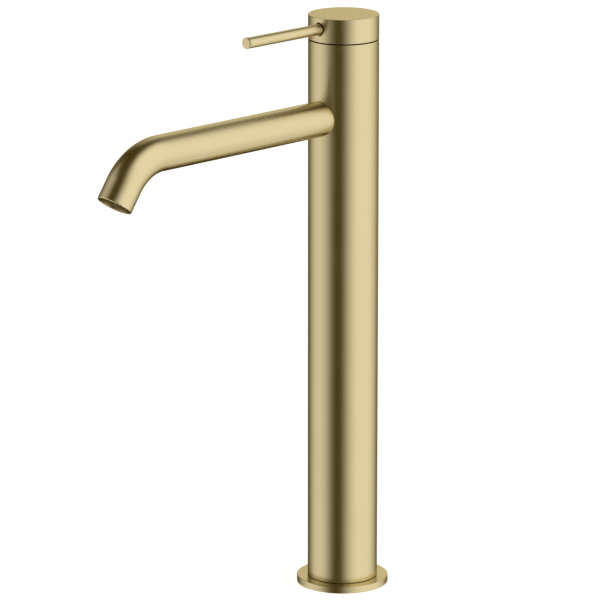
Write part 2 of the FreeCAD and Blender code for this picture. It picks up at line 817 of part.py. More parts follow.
def make_stem():
    """Control stem, drawn upright with the pivot at its origin and then leaned to the front."""
    body = new_body("stem")
    half = dim.stem_side / 2
    arm = -dim.ball_arm
    ball = dim.ball_radius
    neck = 1.3
    join = root_of(ball * ball - neck * neck)
    turn(body, [
        (0, arm - ball), (ball, arm, ball, -1), (neck, arm + join, ball, -1), (neck, -4), (0, -4)])
    hub = new_sketch(body, "XY_Plane", (0, 0, -4.5))
    draw_outline(hub, box_outline(3.0, 3.0))
    extrude(body, hub, 11)
    shank = new_sketch(body, "XY_Plane", (0, 0, 6.5))
    draw_outline(shank, box_outline(half, half))
    extrude(body, shank, dim.stem_length - 6.5)
    hole = new_sketch(body, "YZ_Plane")
    draw_circle(hole, dim.pivot_pin + 0.03, (0, 0))
    extrude(body, hole, 20, cut=True, both=True)
    place(body, 0, 0, dim.pivot_height, tip=lean)


def make_handle_cap():
    """Round cap over the column. The hollow behind it leaves room for the column's rim when it tilts."""
    body = new_body("handle_cap")
    outer = dim.column_radius
    top = dim.total_height
    soft = 0.4
    turn(body, [
        (0, dim.cap_floor), (dim.skirt_radius, dim.cap_floor), (dim.skirt_radius, cap_bottom),
        (outer - soft, cap_bottom), (outer, cap_bottom + soft), (outer, top - soft),
        (outer - soft, top), (0, top)])
    reach = dim.sweep_radius
    start = dim.sweep_start
    turn(body, [(start, 0), (reach, 0), (start, root_of(reach * reach - start * start), reach, -1)],
         role="YZ_Plane", offset=(0, dim.pivot_height, 0), cut=True, axis="H_Axis")
    thread = dim.lever_thread
    clear = dim.lever_radius + dim.play
    edge = dim.column_radius
    turn(body, [
        (-7, 0), (-7, thread), (-dim.lever_seat, thread), (-dim.lever_seat, clear),
        (-(edge - 0.7), clear), (-(edge + 1), clear + 1.7), (-(edge + 1), 0)],
        role="YZ_Plane", offset=(0, dim.lever_height, 0), cut=True, axis="H_Axis")
    socket = new_sketch(body, "XY_Plane", (0, 0, dim.pivot_height), tilt=lean)
    half = dim.stem_side / 2 + dim.play
    draw_outline(socket, box_outline(half, half))
    extrude(body, socket, dim.stem_length + 0.3, cut=True, flip=True)


def make_lever_rod():
    body = new_body("lever_rod")
    radius = dim.lever_radius
    spigot = dim.lever_thread - 0.02
    start = 13.4
    end = dim.lever_length - 1.4
    bevel = 0.2
    socket = 1.55
    socket_end = end - 8
    turn(body, [
        (0, start), (spigot, start), (spigot, dim.lever_seat), (radius, dim.lever_seat),
        (radius, end - bevel), (radius - bevel, end), (socket, end), (socket, socket_end),
        (0, socket_end)])
    place(body, 0, 0, dim.lever_height, tip=90)


def make_lever_button():
    body = new_body("lever_end_button")
    face = dim.lever_length
    seat = face - 1.4
    back = face - 0.85
    radius = dim.button_radius
    bevel = 0.15
    groove = 2.4
    peg = 1.5
    peg_end = face - 9
    turn(body, [
        (0, peg_end), (peg, peg_end), (peg, seat), (groove, seat), (groove, back),
        (radius - bevel, back), (radius, back + bevel), (radius, face - bevel),
        (radius - bevel, face), (0, face)])
    place(body, 0, 0, dim.lever_height, tip=90)


def make_stem_screw():
    screw = grub_screw("stem_grub_screw", dim.lever_thread - 0.02, 4.6, 1.4, 2.5)
    place(screw, 0, -8.42, dim.lever_height, tip=90)


# ---------------------------------------------------------------- build, check, write

make_base_flange()
make_base_gasket()
make_base_block()
make_column_tube()
make_supply_tube("hot_supply_tube", -1)
make_supply_tube("cold_supply_tube", 1)
make_supply_seals()
make_valve_housing()
make_housing_seal()
make_spout_connector()
make_connector_seals()
make_spout_tube()
make_spout_screw()
make_aerator()
make_cartridge_base()
make_port_seals("cartridge_base_seals", dim.seat + dim.seal_depth / 2)
make_port_seals("disc_port_seals", disc_seat - dim.seal_depth / 2)
make_fixed_disc()
make_moving_disc()
make_disc_coupler()
make_cartridge_shell()
make_ring_nut()
make_temperature_ring()
make_dome_cover()
make_swivel_carrier()
make_pivot_pin()
make_carrier_seal()
make_glide_washer()
make_stem()
make_handle_cap()
make_lever_rod()
make_lever_button()
make_stem_screw()
doc.recompute()

for item in doc.Objects:
    if "Invalid" in item.State or "Error" in item.State:
        raise RuntimeError(f"{item.Name} did not compute: {item.State}")
for item in SUBPARTS:
    if item.Shape.isNull() or not item.Shape.isValid():
        raise RuntimeError(f"{item.Label} has no valid shape")

os.makedirs("parts", exist_ok=True)
for item in SUBPARTS:
    item.Shape.exportStep(os.path.join("parts", f"{item.Label}.step"))
    print(item.Label, len(item.Shape.Solids), round(item.Shape.Volume, 1))
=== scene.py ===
"""Looks for a tall single-lever basin mixer in brushed gold. Metres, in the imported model's frame:
the column's axis is Z, the deck is z = 0, and the spout and the lever point along -Y."""

import json
import math

import bmesh
import bpy
from mathutils import Matrix, Vector


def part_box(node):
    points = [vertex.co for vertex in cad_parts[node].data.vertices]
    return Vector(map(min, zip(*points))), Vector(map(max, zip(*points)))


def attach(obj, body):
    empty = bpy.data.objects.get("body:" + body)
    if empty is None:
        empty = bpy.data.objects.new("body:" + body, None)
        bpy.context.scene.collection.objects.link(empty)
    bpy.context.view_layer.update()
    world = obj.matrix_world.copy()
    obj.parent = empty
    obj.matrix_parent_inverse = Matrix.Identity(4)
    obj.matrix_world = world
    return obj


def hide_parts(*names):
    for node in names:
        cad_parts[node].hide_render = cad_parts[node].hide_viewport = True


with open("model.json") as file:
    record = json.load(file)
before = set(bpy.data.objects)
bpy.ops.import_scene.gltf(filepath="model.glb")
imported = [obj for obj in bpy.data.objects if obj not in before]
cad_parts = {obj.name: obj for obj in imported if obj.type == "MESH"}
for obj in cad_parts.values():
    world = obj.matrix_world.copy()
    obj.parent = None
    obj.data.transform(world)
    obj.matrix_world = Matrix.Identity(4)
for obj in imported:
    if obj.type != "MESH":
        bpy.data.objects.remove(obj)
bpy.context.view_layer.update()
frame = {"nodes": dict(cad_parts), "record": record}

MM = 0.001
SCENE = bpy.context.scene


# ---------------------------------------------------------------- sizes read from the frame

def box_of(node):
    low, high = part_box(node)
    return Vector(low), Vector(high)


FLANGE_HIGH = box_of("base_flange")[1]
COLUMN_LOW, COLUMN_HIGH = box_of("column_tube")
CAP_LOW, CAP_HIGH = box_of("handle_cap")
LEVER_LOW, LEVER_HIGH = box_of("lever_rod")
BUTTON_LOW, BUTTON_HIGH = box_of("lever_end_button")
SPOUT_HIGH = box_of("spout_tube")[1]
GASKET_HIGH = box_of("base_gasket")[1]

FLANGE_RADIUS = FLANGE_HIGH.x
FLANGE_TOP = FLANGE_HIGH.z
COLUMN_RADIUS = COLUMN_HIGH.x
COLUMN_BORE = COLUMN_RADIUS - 1.5 * MM
CAP_RADIUS = CAP_HIGH.x
LEVER_RADIUS = LEVER_HIGH.x
LEVER_HEIGHT = (LEVER_LOW.z + LEVER_HIGH.z) / 2
LEVER_GAP = 0.45 * MM
LEVER_SEAT = 17 * MM
BUTTON_RADIUS = BUTTON_HIGH.x
SPOUT_RADIUS = SPOUT_HIGH.x
SPOUT_HEIGHT = SPOUT_HIGH.z - SPOUT_RADIUS
SPOUT_WALL = 1.5 * MM
BEND_RADIUS = 34.2 * MM
BEND_ANGLE = math.radians(54.9)
SPOUT_STRAIGHT = 149.8 * MM
SPOUT_END = 12.7 * MM
PIVOT_HEIGHT = 318 * MM
SHADOW_LINE = 0.3 * MM
SHADOW_DEPTH = 0.6 * MM


# ---------------------------------------------------------------- camera

VIEW_AZIMUTH = math.radians(44.15)
CAMERA_DISTANCE = 2.54
CAMERA_HEIGHT = 0.832
CAMERA_PITCH = math.radians(14.497)
CAMERA_YAW = 0.0101
FOCAL_LENGTH = 263.6


def add_camera():
    data = bpy.data.cameras.new("camera")
    data.lens = FOCAL_LENGTH
    data.sensor_width = 36
    data.clip_end = 50
    camera = bpy.data.objects.new("camera", data)
    SCENE.collection.objects.link(camera)
    camera.location = (
        CAMERA_DISTANCE * math.sin(VIEW_AZIMUTH), -CAMERA_DISTANCE * math.cos(VIEW_AZIMUTH), CAMERA_HEIGHT)
    camera.rotation_euler = (math.pi / 2 - CAMERA_PITCH, 0, VIEW_AZIMUTH + CAMERA_YAW)
    SCENE.camera = camera


# ---------------------------------------------------------------- node helpers

class Nodes:
    """Adds nodes to a tree and joins them with little text."""

    def __init__(self, tree):
        self.tree = tree
        tree.nodes.clear()

    def add(self, kind, values=None, **settings):
        node = self.tree.nodes.new(kind)
        for name, value in settings.items():
            setattr(node, name, value)
        for name, value in (values or {}).items():
            self.feed(node.inputs[name], value)
        return node

    def feed(self, socket, value):
        if isinstance(value, bpy.types.NodeSocket):
            self.tree.links.new(value, socket)
        else:
            socket.default_value = value

    def maths(self, operation, first, second=0.0, clamp=False):
        node = self.add("ShaderNodeMath", operation=operation, use_clamp=clamp)
        self.feed(node.inputs[0], first)
        self.feed(node.inputs[1], second)
        return node.outputs[0]

    def remap(self, value, low, high, to_low, to_high):
        node = self.add("ShaderNodeMapRange", {
            "Value": value, "From Min": low, "From Max": high, "To Min": to_low, "To Max": to_high})
        return node.outputs["Result"]

    def blend(self, factor, first, second):
        node = self.add("ShaderNodeMix", data_type="RGBA")
        self.feed(node.inputs["Factor"], factor)
        self.feed(node.inputs[6], first)
        self.feed(node.inputs[7], second)
        return node.outputs[2]

    def noise(self, vector, scale, detail=2.0, roughness=0.5):
        node = self.add("ShaderNodeTexNoise", {
            "Vector": vector, "Scale": scale, "Detail": detail, "Roughness": roughness})
        return node.outputs["Fac"]

    def stretch(self, vector, scale):
        node = self.add("ShaderNodeMapping", {"Vector": vector, "Scale": scale})
        return node.outputs["Vector"]


# ---------------------------------------------------------------- light and backdrop

class Panel:
    """A soft light panel far from the object. Angles are in degrees: the azimuth counts from the camera's
    side, positive to its right, and the height counts up from the horizon. Each extent is half the panel's
    size, and the edge is half the width of its falloff."""

    def __init__(self, name, azimuth, width, side_edge, height, extent, end_edge, level):
        self.name = name
        self.azimuth = azimuth
        self.width = width
        self.side_edge = side_edge
        self.height = height
        self.extent = extent
        self.end_edge = end_edge
        self.level = level


# The two keys leave a dark band between them, which gives the column its dark streak.
PANELS = [
    Panel("right key", azimuth=70, width=50, side_edge=30, height=25, extent=50, end_edge=20, level=1.0),
    Panel("left key", azimuth=-90, width=35, side_edge=35, height=-5, extent=30, end_edge=10, level=0.8),
    Panel("left top", azimuth=-90, width=30, side_edge=10, height=35, extent=10, end_edge=10, level=0.5),
    Panel("backlight", azimuth=150, width=35, side_edge=10, height=15, extent=10, end_edge=45, level=0.85),
    Panel("back centre", azimuth=-175, width=15, side_edge=10, height=15, extent=35, end_edge=10, level=0.4),
    Panel("right bounce", azimuth=70, width=65, side_edge=15, height=-65, extent=40, end_edge=20, level=0.8),
    Panel("left bounce", azimuth=-60, width=10, side_edge=25, height=-60, extent=40, end_edge=15, level=0.6),
    Panel("low bounce", azimuth=-100, width=40, side_edge=10, height=-75, extent=25, end_edge=10, level=1.9),
]
PANEL_TINT = (1.0, 0.95, 0.78, 1)
FILL = (0.06, 0.04, 0.0, 1)


def falloff(nodes, distance, reach, edge, level):
    """The level inside reach, falling smoothly to nothing over the edge."""
    node = nodes.add("ShaderNodeMapRange", {
        "Value": distance, "From Min": reach - edge, "From Max": reach + edge,
        "To Min": level, "To Max": 0.0}, interpolation_type="SMOOTHSTEP")
    return node.outputs["Result"]


def panel_light(nodes, azimuth, height, panel):
    off = nodes.maths("SUBTRACT", azimuth, panel.azimuth)
    wrapped = nodes.add("ShaderNodeMath", operation="WRAP")
    nodes.feed(wrapped.inputs[0], off)
    nodes.feed(wrapped.inputs[1], 180.0)
    nodes.feed(wrapped.inputs[2], -180.0)
    aside = nodes.maths("ABSOLUTE", wrapped.outputs[0])
    above = nodes.maths("ABSOLUTE", nodes.maths("SUBTRACT", height, panel.height))
    across = falloff(nodes, aside, panel.width, panel.side_edge, 1.0)
    return nodes.maths("MULTIPLY", across, falloff(nodes, above, panel.extent, panel.end_edge, panel.level))


def add_world():
    """The camera sees plain white. The object sees the panels and a dim warm fill."""
    world = bpy.data.worlds.new("studio")
    SCENE.world = world
    world.use_nodes = True
    nodes = Nodes(world.node_tree)
    direction = nodes.add("ShaderNodeTexCoord").outputs["Generated"]
    turned = nodes.add("ShaderNodeMapping", {"Vector": direction, "Rotation": (0, 0, -VIEW_AZIMUTH)})
    parts = nodes.add("ShaderNodeSeparateXYZ", {"Vector": turned.outputs["Vector"]})
    toward = nodes.maths("MULTIPLY", parts.outputs["Y"], -1.0)
    azimuth = nodes.maths("DEGREES", nodes.maths("ARCTAN2", parts.outputs["X"], toward))
    height = nodes.maths("DEGREES", nodes.maths("ARCSINE", parts.outputs["Z"]))
    total = None
    for panel in PANELS:
        light = panel_light(nodes, azimuth, height, panel)
        light.node.label = panel.name
        total = light if total is None else nodes.maths("ADD", total, light)
    lit = nodes.add("ShaderNodeBackground", {"Color": PANEL_TINT, "Strength": total})
    fill = nodes.add("ShaderNodeBackground", {"Color": FILL, "Strength": 1.0})
    both = nodes.add("ShaderNodeAddShader")
    nodes.feed(both.inputs[0], lit.outputs[0])
    nodes.feed(both.inputs[1], fill.outputs[0])
    plain = nodes.add("ShaderNodeBackground", {"Color": (1, 1, 1, 1), "Strength": 1.0})
    seen = nodes.add("ShaderNodeLightPath").outputs["Is Camera Ray"]
    mix = nodes.add("ShaderNodeMixShader", {"Fac": seen})
    nodes.feed(mix.inputs[1], both.outputs[0])
    nodes.feed(mix.inputs[2], plain.outputs[0])
    nodes.add("ShaderNodeOutputWorld", {"Surface": mix.outputs[0]})


def add_floor():
    """A pale round floor. Gloss doesn't see it, as in a studio with a raised sweep."""
    bpy.ops.mesh.primitive_circle_add(vertices=128, radius=4.0, fill_type="NGON", location=(0, 0, -0.0002))
    floor = bpy.context.object
    floor.name = "floor"
    material = bpy.data.materials.new("floor")
    material.use_nodes = True
    nodes = Nodes(material.node_tree)
    pale = nodes.add("ShaderNodeBsdfPrincipled", {
        "Base Color": (0.6, 0.6, 0.6, 1), "Roughness": 0.9, "Specular IOR Level": 0.0,
        "Emission Color": (1, 1, 1, 1), "Emission Strength": 0.88})
    nodes.add("ShaderNodeOutputMaterial", {"Surface": pale.outputs[0]})
    floor.data.materials.append(material)
    floor.visible_glossy = False
    floor.visible_diffuse = False


# ---------------------------------------------------------------- materials

GOLD = (0.76, 0.69, 0.50, 1)
GOLD_SHADE = (0.69, 0.61, 0.42, 1)
GRAZING = (0.78, 0.73, 0.54, 1)


def new_material(name):
    material = bpy.data.materials.new(name)
    material.use_nodes = True
    return material, Nodes(material.node_tree)


def brushed_metal(name, colour, shade, roughness, line_depth):
    """Fine lines run round the piece. The attribute called brush holds, at each point, the place on a
    unit ring and the distance along the piece, so that the lines stay round it on bends too."""
    material, nodes = new_material(name)
    brush = nodes.add("ShaderNodeAttribute", attribute_name="brush").outputs["Vector"]
    fine = nodes.noise(nodes.stretch(brush, (1.2, 1.2, 5200.0)), 1.0, 3.0, 0.6)
    medium = nodes.noise(nodes.stretch(brush, (0.8, 0.8, 1100.0)), 1.0, 2.0, 0.5)
    broad = nodes.noise(nodes.stretch(brush, (0.6, 0.6, 60.0)), 1.0, 2.0, 0.5)
    lines = nodes.maths("ADD", nodes.maths("MULTIPLY", fine, 0.6), nodes.maths("MULTIPLY", medium, 0.4))
    tone = nodes.remap(lines, 0.25, 0.75, 0.0, 1.0)
    tint = nodes.blend(nodes.maths("MULTIPLY", tone, 0.12), colour, shade)
    rough = nodes.maths("ADD", nodes.remap(lines, 0.3, 0.7, roughness - 0.008, roughness + 0.008),
                        nodes.remap(broad, 0.3, 0.7, -0.012, 0.012))
    bump = nodes.add("ShaderNodeBump", {"Height": lines, "Strength": line_depth, "Distance": 0.00002})
    shader = nodes.add("ShaderNodeBsdfPrincipled", {
        "Base Color": tint, "Metallic": 1.0, "Roughness": rough, "Specular Tint": GRAZING,
        "Normal": bump.outputs["Normal"]})
    nodes.add("ShaderNodeOutputMaterial", {"Surface": shader.outputs[0]})
    return material


def plain_metal(name, colour, roughness):
    """Machined or polished metal with a faint turned pattern."""
    material, nodes = new_material(name)
    place = nodes.add("ShaderNodeTexCoord").outputs["Object"]
    grain = nodes.noise(nodes.stretch(place, (40.0, 40.0, 3000.0)), 1.0, 2.0, 0.5)
    rough = nodes.remap(grain, 0.3, 0.7, roughness - 0.05, roughness + 0.05)
    bump = nodes.add("ShaderNodeBump", {"Height": grain, "Strength": 0.1, "Distance": 0.00002})
    shader = nodes.add("ShaderNodeBsdfPrincipled", {
        "Base Color": colour, "Metallic": 1.0, "Roughness": rough, "Normal": bump.outputs["Normal"]})
    nodes.add("ShaderNodeOutputMaterial", {"Surface": shader.outputs[0]})
    return material


def moulded(name, colour, shade, roughness, grain_scale, specular=0.5):
    """Rubber, plastic or ceramic: slight colour drift and a fine surface grain."""
    material, nodes = new_material(name)
    place = nodes.add("ShaderNodeTexCoord").outputs["Object"]
    drift = nodes.noise(place, 120.0, 3.0, 0.5)
    grain = nodes.noise(place, grain_scale, 2.0, 0.5)
    rough = nodes.remap(grain, 0.3, 0.7, roughness - 0.06, roughness + 0.06)
    bump = nodes.add("ShaderNodeBump", {"Height": grain, "Strength": 0.15, "Distance": 0.00003})
    shader = nodes.add("ShaderNodeBsdfPrincipled", {
        "Base Color": nodes.blend(drift, colour, shade), "Roughness": rough,
        "Specular IOR Level": specular, "Normal": bump.outputs["Normal"]})
    nodes.add("ShaderNodeOutputMaterial", {"Surface": shader.outputs[0]})
    return material


def make_finishes():
    """One finish for each material slot, and a few more for single nodes, and a dark gold that paints the
    shade in grooves, gaps and hollows.
    """
    return {
        "brushed_gold": brushed_metal("brushed_gold", GOLD, GOLD_SHADE, 0.275, 0.05),
        "raw_brass": plain_metal("raw_brass", (0.72, 0.56, 0.26, 1), 0.35),
        "polished_steel": plain_metal("polished_steel", (0.62, 0.61, 0.6, 1), 0.18),
        "black_rubber": moulded("black_rubber", (0.02, 0.02, 0.02, 1), (0.035, 0.035, 0.033, 1), 0.6, 2500.0),
        "white_ceramic": moulded("white_ceramic", (0.86, 0.85, 0.82, 1), (0.82, 0.81, 0.78, 1), 0.2, 1500.0),
        "white_plastic": moulded("white_plastic", (0.82, 0.82, 0.8, 1), (0.76, 0.76, 0.73, 1), 0.45, 2000.0),
        "bronze_plastic": moulded("bronze_plastic", (0.25, 0.195, 0.085, 1), (0.17, 0.13, 0.05, 1),
            0.35, 2000.0, 0.2),
        # Painted shade: a dark gold on the faces of grooves, gaps, holes and hollows, where shade falls.
        "recess": plain_metal("recess_gold", (0.17, 0.13, 0.06, 1), 0.5),
        "aerator_housing": plain_metal("aerator_gold", (0.34, 0.28, 0.15, 1), 0.3),
        "spout_grub_screw": plain_metal("screw_gold", (0.5, 0.42, 0.24, 1), 0.3),
    }


# ---------------------------------------------------------------- mesh helpers

def turn_between(start, end, share):
    angle = math.atan2(start.x * end.y - start.y * end.x, start.dot(end)) * share
    return Vector((
        start.x * math.cos(angle) - start.y * math.sin(angle),
        start.x * math.sin(angle) + start.y * math.cos(angle)))


def fillet(before, here, after, radius, steps):
    """Points round a corner, and how much of each neighbouring flat the arc uses up."""
    one = (before - here).normalized()
    two = (after - here).normalized()
    half = math.acos(max(-1.0, min(1.0, one.dot(two)))) / 2
    reach = radius / math.tan(half)
    centre = here + (one + two).normalized() * (radius / math.sin(half))
    start = here + one * reach - centre
    end = here + two * reach - centre
    return [centre + turn_between(start, end, step / steps) for step in range(steps + 1)], reach, one, two


class Ring:
    """One circle of a turned piece. Hard rings keep a sharp edge. After a dark ring come faces of painted
    shade, a dark gold for the shade in grooves and hollows.
    """

    def __init__(self, r, z, hard=False, dark=False):
        self.r = r
        self.z = z
        self.hard = hard
        self.dark = dark


def rounded(corners, steps, support):
    """Rings for an outline of corners (radius, height, fillet), with a fourth value where the faces begin to
    take the painted shade, a dark gold for the shade in grooves and hollows.
    A fillet of 0 stays sharp. Beside each fillet goes one more ring, which keeps the
    flats' shading flat."""
    rings = []
    spots = [Vector(corner[:2]) for corner in corners]
    for index, (r, z, radius, *mark) in enumerate(corners):
        dark = bool(mark)
        was_dark = len(corners[index - 1]) > 3
        if radius == 0:
            rings.append(Ring(r, z, True, dark))
            continue
        before = spots[index - 1]
        after = spots[(index + 1) % len(spots)]
        arc, reach, one, two = fillet(before, spots[index], after, radius, steps)
        if (before - spots[index]).length > 2 * (reach + support):
            rings.append(Ring(*(spots[index] + one * (reach + support)), dark=was_dark))
        rings += [Ring(*spot) for spot in arc]
        rings[-1].dark = dark
        if (after - spots[index]).length > 2 * (reach + support):
            rings.append(Ring(*(spots[index] + two * (reach + support)), dark=dark))
    return rings


def skin(loops, lengths, hard=(), dark=(), closed=True):
    """Joins loops of points into a surface. Loops of one point close an end. The brush attribute gives
    each point its place round the piece and its length along it."""
    bm = bmesh.new()
    layer = bm.verts.layers.float_vector.new("brush")
    made = []
    for loop, length in zip(loops, lengths):
        row = []
        for step, point in enumerate(loop):
            angle = 2 * math.pi * step / len(loop)
            vertex = bm.verts.new(point)
            vertex[layer] = (math.cos(angle), math.sin(angle), length)
            row.append(vertex)
        made.append(row)
    bands = len(made) if closed else len(made) - 1
    for index in range(bands):
        lower = made[index]
        upper = made[(index + 1) % len(made)]
        count = max(len(lower), len(upper))
        for step in range(count):
            following = (step + 1) % count
            if len(lower) == 1:
                corners = (lower[0], upper[following], upper[step])
            elif len(upper) == 1:
                corners = (lower[step], lower[following], upper[0])
            else:
                corners = (lower[step], lower[following], upper[following], upper[step])
            face = bm.faces.new(corners)
            face.smooth = True
            # Bands after a dark ring take the second slot, the painted shade.
            face.material_index = 1 if index in dark else 0
    for index in hard:
        row = made[index]
        for step, vertex in enumerate(row):
            bm.edges.get((vertex, row[(step + 1) % len(row)])).smooth = False
    bmesh.ops.recalc_face_normals(bm, faces=bm.faces)
    return bm


def lathe(corners, segments, place=Matrix.Identity(4), steps=5, support=0.3 * MM):
    """A turned solid about local Z. Outlines that reach the axis start and end there."""
    rings = rounded(corners, steps, support)
    on_axis = rings[0].r == 0 and rings[-1].r == 0
    loops = []
    lengths = [0.0]
    for index, ring in enumerate(rings):
        if index:
            last = rings[index - 1]
            lengths.append(lengths[-1] + math.dist((last.r, last.z), (ring.r, ring.z)))
        if ring.r == 0:
            loops.append([place @ Vector((0, 0, ring.z))])
            continue
        angles = [2 * math.pi * step / segments for step in range(segments)]
        loops.append([place @ Vector((ring.r * math.cos(a), ring.r * math.sin(a), ring.z)) for a in angles])
    hard = [index for index, ring in enumerate(rings) if ring.hard and ring.r > 0]
    dark = [index for index, ring in enumerate(rings) if ring.dark]
    return skin(loops, lengths, hard, dark, closed=not on_axis)


def finished_mesh(name, bm, slot):
    mesh = bpy.data.meshes.new(name)
    bm.to_mesh(mesh)
    bm.free()
    mesh.materials.append(FINISHES[slot])
    # The second slot is the painted shade, for faces inside grooves and hollows.
    mesh.materials.append(FINISHES["recess"])
    return mesh


def add_piece(name, bm, body, slot, node):
    piece = bpy.data.objects.new(name, finished_mesh(name, bm, slot))
    SCENE.collection.objects.link(piece)
    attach(piece, body)
    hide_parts(node)
    return piece


def cut_away(piece, cutter_bm):
    """Subtracts a closed mesh from a piece and leaves hard edges round the cut."""
    # The cutter's dark faces bring the painted shade to the walls of the cut.
    cutter = bpy.data.objects.new("cutter", finished_mesh("cutter", cutter_bm, "brushed_gold"))
    SCENE.collection.objects.link(cutter)
    modifier = piece.modifiers.new("cut", "BOOLEAN")
    modifier.operation = "DIFFERENCE"
    modifier.solver = "EXACT"
    modifier.object = cutter
    bpy.context.view_layer.update()
    graph = bpy.context.evaluated_depsgraph_get()
    piece.data = bpy.data.meshes.new_from_object(piece.evaluated_get(graph))
    piece.modifiers.clear()
    bpy.data.objects.remove(cutter)
    bm = bmesh.new()
    bm.from_mesh(piece.data)
    for edge in bm.edges:
        if len(edge.link_faces) == 2 and edge.calc_face_angle() > HARD_ANGLE:
            edge.smooth = False
    bm.to_mesh(piece.data)
    bm.free()


def shade_upright_cylinder(piece, radius):
    """Gives the faces on an upright cylinder their exact normals, whatever cuts through them."""
    mesh = piece.data
    normals = [Vector(corner.vector) for corner in mesh.corner_normals]
    for polygon in mesh.polygons:
        if abs(polygon.normal.z) > 0.001:
            continue
        spots = [mesh.vertices[index].co for index in polygon.vertices]
        if all(abs(math.hypot(spot.x, spot.y) - radius) < 0.002 * MM for spot in spots):
            for loop in polygon.loop_indices:
                spot = mesh.vertices[mesh.loops[loop].vertex_index].co
                normals[loop] = Vector((spot.x, spot.y, 0)).normalized()
    mesh.normals_split_custom_set(normals)


HARD_ANGLE = math.radians(25)
TO_FRONT = Matrix.Rotation(math.radians(90), 4, "X")
TO_BACK = Matrix.Rotation(math.radians(-90), 4, "X")
TO_BELOW = Matrix.Rotation(math.radians(180), 4, "X")


# ---------------------------------------------------------------- pieces

def make_flange():
    bore = 18.1 * MM
    groove_outer = GASKET_HIGH.x + 0.05 * MM
    groove_inner = groove_outer - 5.05 * MM
    groove_top = GASKET_HIGH.z
    edge = 0.2 * MM
    rim = 0.4 * MM
    add_piece("flange_plate", lathe([
        (bore, 0, edge), (groove_inner, 0, 0), (groove_inner, groove_top, 0), (groove_outer, groove_top, 0),
        (groove_outer, 0, 0), (FLANGE_RADIUS, 0, edge),
        (FLANGE_RADIUS, FLANGE_TOP, rim), (bore, FLANGE_TOP, edge)], 256),
        "column", "brushed_gold", "base_flange")


def make_column():
    """The tube stands on a narrower foot, which leaves a fine shadow line above the flange. The foot's faces
    also carry the painted shade, which darkens that line.
    """
    low = COLUMN_LOW.z
    high = COLUMN_HIGH.z
    foot = COLUMN_RADIUS - SHADOW_DEPTH
    piece = add_piece("column_body", lathe([
        (COLUMN_BORE, low, 0.1 * MM), (foot, low, 0, "recess"), (foot, low + SHADOW_LINE, 0, "recess"),
        (COLUMN_RADIUS, low + SHADOW_LINE, 0.1 * MM), (COLUMN_RADIUS, high, 0.2 * MM),
        (COLUMN_BORE, high, 0.1 * MM)], 256),
        "column", "brushed_gold", "column_tube")
    port = 7.7 * MM
    inside = 15 * MM
    outside = 26 * MM
    cut_away(piece, lathe(
        [(0, inside, 0), (port, inside, 0), (port, outside, 0), (0, outside, 0)], 64,
        Matrix.Translation((0, 0, SPOUT_HEIGHT)) @ TO_FRONT))
    shade_upright_cylinder(piece, COLUMN_RADIUS)


def make_cap():
    """The hollow behind the pivot is part of a ball, so that the cap clears the column when it tilts."""
    low = CAP_LOW.z
    high = CAP_HIGH.z
    skirt = 20.45 * MM
    hollow = 338.0 * MM
    # The hollow's roof and the inside of the skirt carry the painted shade.
    piece = add_piece("cap", lathe([
        (0, hollow, 0, "recess"), (skirt, hollow, 0, "recess"), (skirt, low, 0.1 * MM),
        (CAP_RADIUS, low, 0.2 * MM), (CAP_RADIUS, high, 0.3 * MM), (0, high, 0)], 256),
        "handle", "brushed_gold", "handle_cap")
    thread = 2.5 * MM
    hole = LEVER_RADIUS + LEVER_GAP
    thread_end = 7 * MM
    rim = 20.45 * MM
    outside = 22 * MM
    # The walls of the lever's bore and thread, and the ball-shaped hollow, carry the painted shade.
    cut_away(piece, lathe(
        [(0, thread_end, 0, "recess"), (thread, thread_end, 0, "recess"),
         (thread, LEVER_SEAT, 0, "recess"), (hole, LEVER_SEAT, 0, "recess"),
         (hole, rim, 0), (hole + outside - rim, outside, 0), (0, outside, 0)], 96,
        Matrix.Translation((0, 0, LEVER_HEIGHT)) @ TO_FRONT))
    reach = 26.4 * MM
    start = 6 * MM
    steps = 24
    lowest = math.asin(start / reach)
    angles = [lowest + (math.pi / 2 - lowest) * step / steps for step in range(steps)]
    ball = [(reach * math.cos(angle), reach * math.sin(angle), 0, "recess") for angle in angles]
    cut_away(piece, lathe(
        [(0, start, 0, "recess"), *ball, (0, reach, 0)], 128,
        Matrix.Translation((0, 0, PIVOT_HEIGHT)) @ TO_BACK))
    shade_upright_cylinder(piece, CAP_RADIUS)


def make_lever():
    place = Matrix.Translation((0, 0, LEVER_HEIGHT)) @ TO_FRONT
    end = -LEVER_LOW.y
    spigot = 2.48 * MM
    core = 1.55 * MM
    start = 13.4 * MM
    socket_end = end - 8 * MM
    groove_start = end + 0.45 * MM
    dark_from = 2.9 * MM
    # The groove between the pin and the end button carries the painted shade: the pin's end inside dark_from,
    # and the button's peg and neck out to dark_to.
    add_piece("lever_pin", lathe([
        (0, start, 0), (spigot, start, 0.2 * MM), (spigot, LEVER_SEAT, 0),
        (LEVER_RADIUS, LEVER_SEAT, 0.1 * MM), (LEVER_RADIUS, groove_start, 0.15 * MM),
        (dark_from, groove_start, 0, "recess"), (core, groove_start, 0, "recess"),
        (core, socket_end, 0), (0, socket_end, 0)],
        96, place, support=0.1 * MM),
        "handle", "brushed_gold", "lever_rod")
    face = -BUTTON_LOW.y
    back = face - 0.6 * MM
    peg = 1.5 * MM
    peg_end = face - 9 * MM
    neck = 2.5 * MM
    dark_to = 3.1 * MM
    add_piece("lever_button", lathe([
        (0, peg_end, 0, "recess"), (peg, peg_end, 0, "recess"), (peg, groove_start, 0, "recess"),
        (neck, groove_start, 0, "recess"), (neck, back, 0, "recess"), (dark_to, back, 0),
        (BUTTON_RADIUS, back, 0.1 * MM), (BUTTON_RADIUS, face, 0.45 * MM), (0, face, 0)],
        96, place, support=0.1 * MM),
        "handle", "brushed_gold", "lever_end_button")


